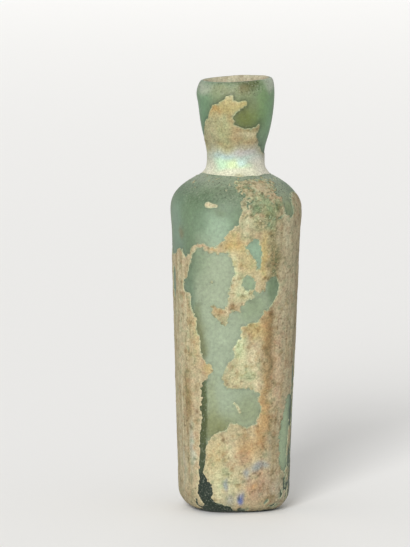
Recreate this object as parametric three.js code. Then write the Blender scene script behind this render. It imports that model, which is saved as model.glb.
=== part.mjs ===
// A small free-blown glass flask for scented oil: a soft-square body that narrows towards its foot, round
// shoulders, a pinched neck and a wide thick-lipped mouth. One hollow piece of glass, open at the mouth.
// Millimetres, +Z up. The origin is the middle of the foot, on the surface that the flask stands on.
// The body's flats face -Y (the front), +X, +Y and -X.
import * as THREE from "three";

// Outside, from the foot up. A half width is measured square to a flat of the body.
const height = 88.8;
const kickRadius = 4.2; // the shallow hollow under the foot
const kickDepth = 0.7;
const heelRadius = 4.2;
const heelHalfWidth = 11.2; // where the heel meets the wall
const wallTop = 57.2; // the straight wall ends and the shoulder begins to round
const wallTopHalfWidth = 12.87;
const crownRadius = 9.15; // half way in over the shoulder
const crownHeight = 68.3;
const crownSlope = 0.6; // how steeply the shoulder still climbs there
const neckRadius = 5.9;
const neckHeight = 71.9; // the pinch
const flareRadius = 7.02; // on the way from the pinch to the mouth
const flareHeight = 78.2;
const flareSlope = 0.246;
const mouthRadius = 7.96;
const mouthHeight = 85.5; // the mouth's widest place, under the lip

// Inside.
const lipThickness = 2;
const throatRadius = 5.4; // inside the flare
const boreRadius = 4.5; // in the pinch
const cavityShoulder = 10.4;
const cavityShoulderHeight = 58;
const cavityFoot = 8.1;
const cavityFootHeight = 10;
const floorThickness = 3.6;

// Section and mouth.
const squareness = 2.65; // superellipse exponent of the body: 2 is round
const cavitySquareness = 2.3;
const roundFrom = 58; // the section turns from soft square to round between these two heights
const roundTo = 70;
const mouthLean = 0.026; // the lip rises towards +X by this much for each millimetre across

const sectorCount = 48;
const curveSteps = 7; // points along each curve of the profile

const wallSlope = (wallTopHalfWidth - heelHalfWidth) / (wallTop - heelRadius);

// The outline from the foot's middle, up the outside, over the lip and down the inside to the floor.
function vesselProfile() {
  const footHalfWidth = heelHalfWidth - heelRadius;
  const profile = new THREE.Path();
  profile.moveTo(0, kickDepth);
  profile.quadraticCurveTo(kickRadius * 0.6, kickDepth, kickRadius, 0);
  profile.lineTo(footHalfWidth, 0);
  profile.absarc(footHalfWidth, heelRadius, heelRadius, -Math.PI / 2, -Math.atan(wallSlope), false);
  profile.lineTo(wallTopHalfWidth, wallTop);
  outerShoulder(profile);
  outerMouth(profile);
  lip(profile);
  innerMouth(profile);
  innerBody(profile);
  return profile;
}

// The shoulder rounds over to its crown, then the hollow curve turns up into the neck.
function outerShoulder(profile) {
  profile.bezierCurveTo(
    wallTopHalfWidth + 4.6 * wallSlope, wallTop + 4.6,
    crownRadius + 5.7, crownHeight - 5.7 * crownSlope,
    crownRadius, crownHeight,
  );
  profile.bezierCurveTo(
    crownRadius - 1.7, crownHeight + 1.7 * crownSlope,
    neckRadius, neckHeight - 2.3,
    neckRadius, neckHeight,
  );
}

// The mouth flares from the pinch and draws upright just under the lip.
function outerMouth(profile) {
  profile.bezierCurveTo(
    neckRadius, neckHeight + 3.4,
    flareRadius - 2.6 * flareSlope, flareHeight - 2.6,
    flareRadius, flareHeight,
  );
  profile.bezierCurveTo(
    flareRadius + 1.9 * flareSlope, flareHeight + 1.9,
    mouthRadius, mouthHeight - 2.1,
    mouthRadius, mouthHeight,
  );
}

// Fire-rounded, from the outside of the mouth over to the inside.
function lip(profile) {
  const middle = mouthRadius - lipThickness / 2;
  const inner = mouthRadius - lipThickness;
  profile.bezierCurveTo(mouthRadius, height - 1.3, middle + 0.6, height, middle, height);
  profile.bezierCurveTo(middle - 0.6, height, inner, height - 0.8, inner, height - 2.2);
}

function innerMouth(profile) {
  const inner = mouthRadius - lipThickness;
  profile.bezierCurveTo(
    inner, mouthHeight - 3,
    throatRadius + 0.4, flareHeight + 2,
    throatRadius, flareHeight,
  );
  profile.bezierCurveTo(
    throatRadius - 0.5, flareHeight - 2.6,
    boreRadius, neckHeight + 2.4,
    boreRadius, neckHeight,
  );
}

// Under the pinch the cavity opens to the shoulder, then narrows to a thick rounded floor.
function innerBody(profile) {
  profile.bezierCurveTo(
    boreRadius, neckHeight - 5.4,
    cavityShoulder, cavityShoulderHeight + 8,
    cavityShoulder, cavityShoulderHeight,
  );
  profile.lineTo(cavityFoot, cavityFootHeight);
  profile.bezierCurveTo(
    cavityFoot - 0.3, floorThickness + 1.6,
    cavityFoot - 3.4, floorThickness,
    0, floorThickness,
  );
}

// How far a superellipse section stands out at an angle, as a share of its half width.
function sectionReach(angle, exponent) {
  return (Math.abs(Math.cos(angle)) ** exponent + Math.abs(Math.sin(angle)) ** exponent) ** (-1 / exponent);
}

// Turns a round section soft square in the body, and leans the mouth.
function shapeSection(geometry, innerFrom) {
  const position = geometry.attributes.position;
  const rows = position.count / (sectorCount + 1);
  for (let i = 0; i < position.count; i++) {
    const x = position.getX(i);
    const y = position.getY(i);
    const z = position.getZ(i);
    const round = THREE.MathUtils.smoothstep(z, roundFrom, roundTo);
    const square = i % rows >= innerFrom ? cavitySquareness : squareness;
    const reach = sectionReach(Math.atan2(y, x), THREE.MathUtils.lerp(square, 2, round));
    const lean = mouthLean * x * THREE.MathUtils.smoothstep(z, neckHeight, height);
    position.setXYZ(i, x * reach, y * reach, z + lean);
  }
  return geometry;
}

function vesselGeometry() {
  const outline = vesselProfile().getPoints(curveSteps);
  const lipTop = outline.findIndex((p) => p.y >= height);
  const turned = new THREE.LatheGeometry(outline, sectorCount).rotateX(Math.PI / 2);
  return shapeSection(turned, lipTop);
}

const weatheredGlass = new THREE.MeshStandardMaterial({
  color: new THREE.Color(0.5, 0.6, 0.48),
  roughness: 0.4,
  metalness: 0,
});

const flask = new THREE.Mesh(vesselGeometry(), weatheredGlass);
flask.name = "glass_flask";

const unguentarium = new THREE.Group();
unguentarium.add(flask);

export default unguentarium;
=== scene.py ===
# A small free-blown glass flask for scented oil, weathered in the ground: the bare glass, and the thin
# crust of burial that still clings to it in sheets and flakes.
# Sizes are in millimetres until a mesh is made. The origin is the middle of the foot, +Z is up, and the
# flats of the body face -Y (the front), +X, +Y and -X.
import math

import bpy
import numpy as np
from mathutils import Matrix, Vector


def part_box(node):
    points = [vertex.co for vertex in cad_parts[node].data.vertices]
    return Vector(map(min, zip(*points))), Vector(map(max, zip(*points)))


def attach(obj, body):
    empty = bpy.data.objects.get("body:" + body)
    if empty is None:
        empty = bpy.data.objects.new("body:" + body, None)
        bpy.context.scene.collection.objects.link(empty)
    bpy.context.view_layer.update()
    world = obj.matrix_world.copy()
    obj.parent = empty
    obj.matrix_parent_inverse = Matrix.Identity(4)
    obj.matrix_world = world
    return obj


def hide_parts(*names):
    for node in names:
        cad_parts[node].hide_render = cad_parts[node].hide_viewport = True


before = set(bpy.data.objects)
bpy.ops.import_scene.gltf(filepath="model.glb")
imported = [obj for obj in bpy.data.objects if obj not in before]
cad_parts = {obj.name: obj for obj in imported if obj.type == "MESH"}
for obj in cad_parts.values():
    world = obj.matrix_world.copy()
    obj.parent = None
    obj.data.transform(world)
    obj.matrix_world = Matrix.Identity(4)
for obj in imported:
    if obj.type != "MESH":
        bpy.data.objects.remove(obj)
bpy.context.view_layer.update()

MM = 0.001

# Where the flask stands, and how tall and how wide it is, from the frame.
flask_low, flask_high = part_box("glass_flask")
FOOT = Vector(((flask_low.x + flask_high.x) / 2, (flask_low.y + flask_high.y) / 2, flask_low.z))
WIDEST = (flask_high.x - flask_low.x) / 2 / MM
TALLEST = (flask_high.z - flask_low.z) / MM

# The vessel's outside, from the foot up. A half width is measured square to a flat of the body.
MOUTH_RADIUS, MOUTH_HEIGHT = 7.96, 85.5
MOUTH_LEAN = 0.026  # the lip rises towards +X by this much for each millimetre across
LIP_THICKNESS = 2
HEIGHT = TALLEST - MOUTH_LEAN * (MOUTH_RADIUS - LIP_THICKNESS / 2)
KICK_RADIUS, KICK_DEPTH = 4.2, 0.7
HEEL_RADIUS, HEEL_HALF_WIDTH = 4.2, 11.2
WALL_TOP, WALL_TOP_HALF_WIDTH = 57.2, WIDEST - 0.39
CROWN_RADIUS, CROWN_HEIGHT, CROWN_SLOPE = 9.15, 68.3, 0.6
NECK_RADIUS, NECK_HEIGHT = 5.9, 71.9
FLARE_RADIUS, FLARE_HEIGHT, FLARE_SLOPE = 7.02, 78.2, 0.246

# Its inside.
THROAT_RADIUS, BORE_RADIUS = 5.4, 4.5
CAVITY_SHOULDER, CAVITY_SHOULDER_HEIGHT = 10.4, 58
CAVITY_FOOT, CAVITY_FOOT_HEIGHT = 8.1, 10
FLOOR_THICKNESS = 3.6

# Its section: superellipse exponents, 2 being round, and the heights between which square turns round.
SQUARENESS, CAVITY_SQUARENESS = 2.65, 2.3
ROUND_FROM, ROUND_TO = 58, 70

# How uneven the blown glass is: waves all over, a lip drawn out a little to one side, at that height and
# over that much of it, and lifted on the other.
WAVINESS = 0.05
LIP_BULGE, LIP_BULGE_TURN = 0.35, math.radians(-102)
LIP_BULGE_HEIGHT, LIP_BULGE_SPREAD = 86.3, 1.7
LIP_LIFT = 0.3

# The CAD's outside is drawn over the crust, so the bare glass lies this far under it.
CRUST_ALLOWANCE = 0.1
BODY_LAYER, NECK_LAYER, LIP_LAYER = 0.13, 0.14, 0.1  # the crust's thickness
UNDERSIDE = 0.04  # and how far it reaches into the glass

WALL_SLOPE = (WALL_TOP_HALF_WIDTH - HEEL_HALF_WIDTH) / (WALL_TOP - HEEL_RADIUS)

# The crust is laid out on the unrolled skin. "Across" is millimetres round from the meridian that
# faces the viewer, on a cylinder of the body's or the neck's mean radius.
FACING_TURN = math.radians(-12)
BODY_ROLL, NECK_ROLL = 13, 7
COLLAR_HEIGHT = 69.5  # the crisp lower edge of the neck's crust


def smoothstep(value, low, high):
    """0 below low and 1 above high, with an even S-curve between: 3t^2 - 2t^3."""
    t = np.clip((value - low) / (high - low), 0, 1)
    return t * t * (3 - 2 * t)


def mix(a, b, share):
    """From a at share 0, straight to b at share 1."""
    return a + (b - a) * share


def blended(colour, tone, share):
    """Carries each point's colour towards a tone by that point's share."""
    return mix(colour, tone, share[:, None])


def linear(red, green, blue):
    """A display colour, 0 to 255, as the light it stands for."""
    value = np.array([red, green, blue]) / 255
    return np.where(value <= 0.04045, value / 12.92, ((value + 0.055) / 1.055) ** 2.4)


def lattice_noise(point, cell, seed):
    """Smooth random field from -1 to 1.

    Random values stand on a cubic lattice of that cell and are blended with an S-curve between them.
    """
    side = 32
    table = np.random.default_rng(seed).uniform(-1, 1, (side, side, side))
    place = point / np.asarray(cell, float) + 7.3
    base = np.floor(place).astype(int)
    part = place - base
    part = part * part * (3 - 2 * part)
    total = np.zeros(len(point))
    for corner in np.ndindex(2, 2, 2):
        weight = np.prod(np.where(corner, part, 1 - part), axis=1)
        total += weight * table[tuple(((base + corner) % side).T)]
    return total


def rough_noise(point, cell, seed, octaves=3):
    """Lattice noise with finer and weaker layers added, each half the cell and 0.55 of the strength."""
    total, strength, reached = 0, 1, 0
    for octave in range(octaves):
        total = total + strength * lattice_noise(point, np.asarray(cell) / 2**octave, seed + octave)
        reached += strength
        strength *= 0.55
    return total / reached * 1.6


# ---------------------------------------------------------------------------------------------
# The skin: one profile from the foot's middle, up the outside, over the lip and down the inside
# ---------------------------------------------------------------------------------------------


def curve(*controls, count=40):
    """Points of a Bezier curve without its first one: the binomial blend of its control points."""
    t = np.linspace(0, 1, count + 1)[1:, None]
    order = len(controls) - 1
    return sum(
        math.comb(order, i) * t**i * (1 - t) ** (order - i) * np.array(point, float)
        for i, point in enumerate(controls)
    )


def outer_profile():
    """Half widths and heights up the outside: the kick, an arc for the heel, then the straight wall and
    Bezier curves through the crown, the pinch and the flare to the middle of the lip."""
    foot = HEEL_HALF_WIDTH - HEEL_RADIUS
    sweep = np.linspace(-math.pi / 2, -math.atan(WALL_SLOPE), 24)
    heel = np.stack([foot + HEEL_RADIUS * np.cos(sweep), HEEL_RADIUS + HEEL_RADIUS * np.sin(sweep)], 1)
    shoulder = (WALL_TOP_HALF_WIDTH, WALL_TOP)
    crown = (CROWN_RADIUS, CROWN_HEIGHT)
    neck = (NECK_RADIUS, NECK_HEIGHT)
    flare = (FLARE_RADIUS, FLARE_HEIGHT)
    mouth = (MOUTH_RADIUS, MOUTH_HEIGHT)
    middle = MOUTH_RADIUS - LIP_THICKNESS / 2
    return np.concatenate([
        [(0, KICK_DEPTH)],
        curve((0, KICK_DEPTH), (KICK_RADIUS * 0.6, KICK_DEPTH), (KICK_RADIUS, 0)),
        heel,
        [shoulder],
        curve(shoulder, (WALL_TOP_HALF_WIDTH + 4.6 * WALL_SLOPE, WALL_TOP + 4.6),
              (CROWN_RADIUS + 5.7, CROWN_HEIGHT - 5.7 * CROWN_SLOPE), crown),
        curve(crown, (CROWN_RADIUS - 1.7, CROWN_HEIGHT + 1.7 * CROWN_SLOPE),
              (NECK_RADIUS, NECK_HEIGHT - 2.3), neck),
        curve(neck, (NECK_RADIUS, NECK_HEIGHT + 3.4),
              (FLARE_RADIUS - 2.6 * FLARE_SLOPE, FLARE_HEIGHT - 2.6), flare),
        curve(flare, (FLARE_RADIUS + 1.9 * FLARE_SLOPE, FLARE_HEIGHT + 1.9),
              (MOUTH_RADIUS, MOUTH_HEIGHT - 2.1), mouth),
        curve(mouth, (MOUTH_RADIUS, HEIGHT - 1.3), (middle + 0.6, HEIGHT), (middle, HEIGHT)),
    ])


def inner_profile():
    """From the middle of the lip down the inside: Bezier curves through the throat and the bore, the
    straight wall of the cavity and a rounded floor."""
    middle = MOUTH_RADIUS - LIP_THICKNESS / 2
    inner = MOUTH_RADIUS - LIP_THICKNESS
    lip = (inner, HEIGHT - 2.2)
    throat = (THROAT_RADIUS, FLARE_HEIGHT)
    bore = (BORE_RADIUS, NECK_HEIGHT)
    shoulder = (CAVITY_SHOULDER, CAVITY_SHOULDER_HEIGHT)
    foot = (CAVITY_FOOT, CAVITY_FOOT_HEIGHT)
    return np.concatenate([
        curve((middle, HEIGHT), (middle - 0.6, HEIGHT), (inner, HEIGHT - 0.8), lip),
        curve(lip, (inner, MOUTH_HEIGHT - 3), (THROAT_RADIUS + 0.4, FLARE_HEIGHT + 2), throat),
        curve(throat, (THROAT_RADIUS - 0.5, FLARE_HEIGHT - 2.6), (BORE_RADIUS, NECK_HEIGHT + 2.4), bore),
        curve(bore, (BORE_RADIUS, NECK_HEIGHT - 5.4),
              (CAVITY_SHOULDER, CAVITY_SHOULDER_HEIGHT + 8), shoulder),
        [foot],
        curve(foot, (CAVITY_FOOT - 0.3, FLOOR_THICKNESS + 1.6),
              (CAVITY_FOOT - 3.4, FLOOR_THICKNESS), (0, FLOOR_THICKNESS)),
    ])


outside = outer_profile()
PROFILE = np.concatenate([outside, inner_profile()])
PROFILE_LENGTH = np.concatenate([[0], np.cumsum(np.hypot(*np.diff(PROFILE, axis=0).T))])
LIP_LENGTH = PROFILE_LENGTH[len(outside) - 1]


def height_at(along):
    """Height of the profile at a length along it."""
    return np.interp(along, PROFILE_LENGTH, PROFILE[:, 1])


def along_at(height):
    """Length along the profile where the outside, past the flat of the foot, reaches a height."""
    off_the_floor = 42
    rising = slice(off_the_floor, len(outside))
    return np.interp(height, outside[rising, 1], PROFILE_LENGTH[rising])


def skin_point(turn, along):
    """A point of the vessel's skin, from the turn round the axis and the length along the profile.

    The profile gives a half width and a height, and the outside is drawn in to leave room for the crust.
    The superellipse section carries the half width out to the turn's direction:
    (|sin|^n + |cos|^n)^(-1/n). The mouth leans in proportion to x, with its lip lifted by an S-curve of x.
    Along the radius come a slow noise and the lip's bulge, which is cos^2 of the turn from its middle
    times exp(-d^2) of the height from it.
    """
    half_width = np.interp(along, PROFILE_LENGTH, PROFILE[:, 0])
    height = height_at(along)
    inset = CRUST_ALLOWANCE * smoothstep(half_width, 1, 5) * smoothstep(LIP_LENGTH - along, 0, 3)
    half_width = half_width - inset
    squareness = np.where(along > LIP_LENGTH, CAVITY_SQUARENESS, SQUARENESS)
    exponent = mix(squareness, 2, smoothstep(height, ROUND_FROM, ROUND_TO))
    ahead, aside = -np.cos(turn), np.sin(turn)
    reach = (np.abs(aside) ** exponent + np.abs(ahead) ** exponent) ** (-1 / exponent)
    lean = MOUTH_LEAN * half_width * aside * smoothstep(height, NECK_HEIGHT, HEIGHT)
    lift = LIP_LIFT * smoothstep(half_width * aside, -6, 8)
    lean = lean + lift * smoothstep(height, MOUTH_HEIGHT - 3, HEIGHT)
    radius = half_width * reach
    point = np.stack([radius * aside, radius * ahead, height + lean], 1)
    wave = WAVINESS * rough_noise(point, (6, 6, 11), seed=40, octaves=2) * smoothstep(radius, 3, 6)
    sideways = np.maximum(np.cos(turn - LIP_BULGE_TURN), 0) ** 2
    wave += LIP_BULGE * sideways * np.exp(-(((height - LIP_BULGE_HEIGHT) / LIP_BULGE_SPREAD) ** 2))
    point[:, 0] += wave * aside
    point[:, 1] += wave * ahead
    return point


def skin_normal(turn, along):
    """Unit normal out of the glass: the step round crossed with the step along the profile."""
    step_turn, step_along = 0.01, 0.08
    round_step = skin_point(turn + step_turn, along) - skin_point(turn - step_turn, along)
    long_step = skin_point(turn, along + step_along) - skin_point(turn, along - step_along)
    normal = np.cross(round_step, long_step)
    return normal / np.linalg.norm(normal, axis=1, keepdims=True)


def mesh_object(name, points, faces, material, colours, flat_from=None):
    """A piece from points in millimetres and triangles, with a colour for each point.

    It is shaded smooth, but for the triangles from the one numbered flat_from.
    """
    mesh = bpy.data.meshes.new(name)
    mesh.vertices.add(len(points))
    mesh.vertices.foreach_set("co", (points * MM + np.array(FOOT)).astype(np.float32).ravel())
    mesh.loops.add(faces.size)
    mesh.loops.foreach_set("vertex_index", faces.astype(np.int32).ravel())
    mesh.polygons.add(len(faces))
    mesh.polygons.foreach_set("loop_start", np.arange(0, faces.size, 3, dtype=np.int32))
    smooth = np.ones(len(faces), bool)
    if flat_from is not None:
        smooth[flat_from:] = False
    mesh.polygons.foreach_set("use_smooth", smooth)
    mesh.update(calc_edges=True)
    layer = mesh.color_attributes.new("tone", "FLOAT_COLOR", "POINT")
    layer.data.foreach_set("color", colours.astype(np.float32).ravel())
    mesh.materials.append(material)
    piece = bpy.data.objects.new(name, mesh)
    bpy.context.scene.collection.objects.link(piece)
    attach(piece, "root")
    return piece


# ---------------------------------------------------------------------------------------------
# Where the crust lies, in (across, height)
# ---------------------------------------------------------------------------------------------

# Sheet down the left side, with its upper edge broken and its right edge along the front corner.
LEFT_SHEET = (
    (-25, 52.4), (-19, 52.9), (-16.6, 53.2), (-15.5, 54.3), (-12.2, 54.5), (-11.2, 53.3), (-9.9, 53.3),
    (-8.9, 52.6), (-10, 50.8), (-10.3, 49.3), (-12.2, 47.6), (-11.9, 46.2), (-9.8, 45.6), (-9.4, 42.2),
    (-7.9, 40.2), (-8.2, 38.7), (-6.9, 35.7), (-7.3, 34), (-6.7, 32.4), (-4.8, 31.1), (-4.7, 30),
    (-6, 28), (-7.2, 27.2), (-7.1, 24.6), (-7.5, 22), (-7, 20.1), (-7.7, 17.4), (-7.7, 12), (-8.1, 7.5),
    (-8.5, 4.4), (-7.6, 2.9), (-7.2, 2), (-8, 1.3), (-9.4, 0.7), (-12, 0.3), (-25, 0.2),
)
# The island across the middle, from the shoulder down to its hooked foot.
ISLAND = (
    (1.7, 64), (1.2, 62.6), (0.6, 60.3), (-1, 59), (-2.1, 57.6), (-2.4, 56.2), (-2, 54.4), (-1.2, 53.8),
    (-0.5, 51.5), (-0.2, 50.2), (-0.8, 48.4), (-1.5, 46.5), (-1.5, 44.3), (-2.2, 43), (-3.2, 42.9),
    (-4.3, 43.8), (-5, 43.2), (-4.4, 41), (-3.4, 40.3), (-2.6, 39.5), (-1.7, 39.4), (-1.5, 40.6),
    (-0.6, 42.4), (1.3, 42.1), (1.5, 43.2), (2.4, 44.1), (4, 45.2), (4.2, 46.2), (6.3, 46.3),
    (6.7, 48.2), (8, 49), (12, 49), (12, 60),
)
# The lower front, with the step of its left edge towards the foot.
LOWER_FRONT = (
    (7.4, 42.6), (6.5, 42.4), (5.3, 40.6), (3.2, 40), (1.4, 39.2), (1.6, 38), (1.2, 36.9), (-0.3, 35.5),
    (-0.4, 34), (-0.2, 33), (-1.6, 31), (-2.8, 28.7), (-2.2, 26.6), (-0.5, 26), (3.4, 26.3), (4.9, 25.4),
    (6, 25.1), (4.8, 24.1), (5.9, 23.1), (6.2, 21.6), (5, 19), (3, 18.3), (0.6, 19.2), (-0.9, 19.2),
    (-1.6, 17.9), (-4.4, 17), (-6, 15.6), (-6.3, 11), (-7, 8.8), (-6.2, 7.6), (-4.9, 6.2), (-5.1, 3.4),
    (-4.2, 2.5), (-2.6, 2.1), (-0.6, 1.2), (0.8, 0.3), (12, 0.2), (12, 42),
)
# The sheet down the right side, which runs on round the back.
RIGHT_SHEET = (
    (10, 63), (11, 62.1), (12.3, 61.7), (12.7, 63.6), (13.3, 65.2), (15, 66.2), (17, 66), (25, 65),
    (25, 0.2), (9, 0.2), (9, 40), (7.4, 42.6), (8.1, 44.2), (9.4, 46), (9.3, 48.4), (7.6, 50), (7.6, 61),
)
# Crust so thin and holed over the right shoulder that the glass shows all through it.
MOTTLED_SHOULDER = (
    (-1.5, 69.6), (-0.8, 67.3), (0.6, 66), (1, 64), (2.4, 60), (8, 59), (10.3, 62), (10.9, 64),
    (10.8, 66.4), (13, 67.4), (14, 69.6),
)
# The crust round the neck, with the tongue that climbs the front of the mouth.
NECK_CRUST = (
    (-22, 74.4), (-14, 74.6), (-10.5, 76.2), (-8.6, 78.4), (-7, 80.6), (-5.6, 82.3), (-5, 83.6),
    (-4.6, 84.1), (-3.4, 84.4), (-2.9, 85), (-1.9, 85.8), (-1.2, 86.3), (-0.5, 86.2), (-0.3, 85.1),
    (0.6, 84.9), (1.6, 85), (2.2, 84.6), (2, 84), (0.4, 82.9), (-0.6, 81.6), (-0.3, 80.4), (1, 79.3),
    (3.6, 79.1), (4.9, 80.3), (5.3, 80.2), (5.3, 79.2), (4.7, 78.4), (4.8, 77.4), (6, 75.5),
    (8.2, 73.9), (12, 73.3), (22, 74.4), (22, 60), (-22, 60),
)
# The clean pocket high in the island.
POCKET = (
    (2.3, 55.6), (2.9, 56.4), (3.9, 57.2), (4.8, 56.7), (5.5, 54.3), (5.3, 51), (4.6, 50.9), (4.5, 53),
    (2.6, 54.7),
)
# The clean strip down the right front corner.
CORNER_STRIP = (
    (12.1, 8.8), (11.3, 10.4), (11, 14), (11.2, 17.6), (11.7, 19.8), (12.5, 21.8), (13.1, 24.3),
    (14.6, 24.8), (14.3, 20), (13.9, 17), (13.6, 13), (13.9, 9.5), (13, 8.6),
)

# A thin bridge and a splinter of crust: (across, height, half width) along a line.
BRIDGE = (
    (-10, 52.6, 0.8), (-9.1, 54.5, 0.5), (-8.1, 55.6, 0.55), (-6.6, 55.8, 0.5), (-5, 54.9, 0.6),
    (-3.6, 54.9, 0.95), (-1.6, 55.8, 1.4),
)
SPLINTER = ((0, 23.3, 0.3), (0.7, 22.6, 0.46), (1.3, 21.5, 0.36))

# Ovals: (across, height, half width, half height). A solid patch on the mottled shoulder, flakes that
# stand alone on bare glass, and holes.
SHOULDER_PATCH = (6.4, 67.7, 2.6, 0.85)
FLAKES = (
    (-5.5, 64.1, 0.9, 0.6), (-4.4, 63.9, 1.1, 0.5), (-4.7, 48.3, 0.32, 0.32),
    (14.7, 7.2, 0.8, 1.4), (14.9, 15.8, 1.1, 2.2), (5.4, 19.6, 0.2, 0.9),
)
HOLES = (
    (2.9, 48.1, 1.2, 1.5), (12, 63.9, 1, 2.1), (14.9, 21.3, 0.8, 2.9), (15, 11.3, 0.9, 1.9),
    (15.6, 27.6, 0.5, 3), (13.1, 6.6, 0.4, 1.3), (14.2, 4.8, 0.3, 1.6), (12, 4, 0.35, 0.7),
    (15.6, 5, 0.35, 2.2), (11, 1.6, 0.8, 0.25), (8.2, 2.6, 0.4, 0.3), (3.2, 0.6, 0.6, 0.3),
    (1.6, 0.8, 0.5, 0.35), (-9.4, 2.2, 0.4, 0.7), (-8.4, 1, 0.9, 0.4), (-18.9, 47.2, 1.4, 2.9),
    (19.6, 14, 3.8, 18), (18.2, 6, 2.9, 6.5),
)

# Soft ovals: the pale broken edge of the shoulder's crust, the dark-veined band between the island and the
# right sheet, and the frosted patch on the lip, which is measured round the neck.
PALE_EDGE = (0.4, 61.5, 2.2, 4.5)
VEINED_BAND = (8.2, 53, 1.1, 6.5)
FROSTED_LIP = (3.4, 87.6, 2.6, 1)


def inside_outline(across, height, outline):
    """Distance to a closed outline, positive inside it.

    The least distance to its edges, with the sign from how often a line to the right crosses them.
    """
    corners = np.array(outline, float)
    nearest = np.full(across.shape, np.inf)
    inside = np.zeros(across.shape, bool)
    for (ax, az), (bx, bz) in zip(corners, np.roll(corners, -1, axis=0)):
        dx, dz = bx - ax, bz - az
        share = np.clip(((across - ax) * dx + (height - az) * dz) / (dx * dx + dz * dz), 0, 1)
        nearest = np.minimum(nearest, np.hypot(across - ax - share * dx, height - az - share * dz))
        if dz:
            crosses = (az > height) != (bz > height)
            inside ^= crosses & (across < ax + (height - az) * dx / dz)
    return np.where(inside, nearest, -nearest)


def inside_line(across, height, line):
    """Distance into a line of changing width: half width less the distance to each stretch of it."""
    best = np.full(across.shape, -np.inf)
    for (ax, az, aw), (bx, bz, bw) in zip(line, line[1:]):
        dx, dz = bx - ax, bz - az
        share = np.clip(((across - ax) * dx + (height - az) * dz) / (dx * dx + dz * dz), 0, 1)
        gap = np.hypot(across - ax - share * dx, height - az - share * dz)
        best = np.maximum(best, mix(aw, bw, share) - gap)
    return best


def inside_oval(across, height, oval):
    """About the distance into an oval: how far within its unit circle, times its smaller half."""
    middle, level, half_width, half_height = oval
    ring = np.hypot((across - middle) / half_width, (height - level) / half_height)
    return (1 - ring) * min(half_width, half_height)


def soft_oval(across, height, oval):
    """1 in an oval's middle, and fading out as exp(-d^2) of its oval distance, which is 1 at its edge."""
    middle, level, half_width, half_height = oval
    return np.exp(-(((across - middle) / half_width) ** 2) - ((height - level) / half_height) ** 2)


def across_of(turn, roll):
    """Millimetres round from the facing meridian, within half a turn either way."""
    away = (turn - FACING_TURN + math.pi) % (2 * math.pi) - math.pi
    return away * roll


def front_crust(across, height):
    """Distance into the front's crust: its sheets and the bridge together, less the pockets and holes."""
    crust = np.full(across.shape, -9.0)
    for outline in (LEFT_SHEET, ISLAND, LOWER_FRONT, RIGHT_SHEET):
        crust = np.maximum(crust, inside_outline(across, height, outline))
    crust = np.maximum(crust, inside_line(across, height, BRIDGE))
    for hole in (POCKET, CORNER_STRIP):
        crust = np.minimum(crust, -inside_outline(across, height, hole))
    for hole in HOLES:
        crust = np.minimum(crust, -inside_oval(across, height, hole))
    return crust


def front_bits(across, height):
    """Distance into the splinter and the flakes that stand alone."""
    bits = inside_line(across, height, SPLINTER)
    for flake in FLAKES:
        bits = np.maximum(bits, inside_oval(across, height, flake))
    return bits


def crumbled(crust, point, across, height):
    """Thins the crust over the right shoulder, leaves its solid patch, and strews crumbs under the collar.

    The crust there is a fine noise plus an allowance, which falls towards the neck and, high up, towards
    the thin spot's edge. The crumbs are the peaks of the same noise.
    """
    speckle = rough_noise(point, 0.5, seed=61, octaves=2)
    thin_spot = inside_outline(across, height, MOTTLED_SHOULDER)
    allowance = mix(0.85, 0.6, smoothstep(height, 59, 68))
    edge_allowance = mix(-0.5, 0.65, smoothstep(thin_spot, 0, 1.8))
    allowance = np.minimum(allowance, mix(allowance, edge_allowance, smoothstep(height, 64, 66)))
    eaten = np.minimum(np.maximum(crust, thin_spot), speckle * 0.7 + allowance)
    crust = np.where(thin_spot > 0, eaten, crust)
    crust = np.maximum(crust, 2 * inside_oval(across, height, SHOULDER_PATCH))
    crumbs = (speckle - 0.85) * 0.7 + mix(-0.6, 0, smoothstep(height, 63, 68))
    return np.maximum(crust, np.minimum(crumbs, COLLAR_HEIGHT - height))


def with_back(crust, point, across, height):
    """Hands the front's crust over to the back's, along a wandering line down each side.

    The back's is a broad noise drawn out along the height, which leaves sheets and bare patches of the
    same kind, and more glass towards the shoulder.
    """
    wander = 2.4 * rough_noise(point, (5, 5, 8), seed=75, octaves=2)
    behind = smoothstep(np.abs(across + 1.5) + wander, 20, 23)
    broad = rough_noise(point, (7, 7, 13), seed=71, octaves=4) * 6
    broad = broad + mix(2.6, -4.2, smoothstep(height, 48, 66))
    return mix(crust, np.minimum(broad, 6), behind)


def body_mask(turn, along):
    """How far inside the body's crust a point lies, in millimetres; negative on bare glass.

    The front's sheets, crumbled at the shoulder, give way to the back's. Their edges are frayed by two
    finer noises, and the loose bits' by less. The crust ends in a wandering line just above the foot, a
    little higher where the foot is worn.
    """
    point = skin_point(turn, along)
    across, height = across_of(turn, BODY_ROLL), point[:, 2]
    crust = crumbled(front_crust(across, height), point, across, height)
    crust = with_back(crust, point, across, height)
    fine = rough_noise(point, 0.55, seed=81, octaves=2) * 0.34
    fray = fine + rough_noise(point, 1.5, seed=85, octaves=2) * 0.14 - 0.04
    worn = smoothstep(-across, 6, 8) * (1 - smoothstep(-across, 13, 16))
    foot_line = 0.22 * rough_noise(point, 1.6, seed=87, octaves=2)
    foot_edge = (height - 0.42 - 0.4 * worn + foot_line) * 1.2
    bits = front_bits(across, height) + 0.4 * fray
    return np.minimum(np.maximum(crust + fray, bits), foot_edge)


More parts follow.
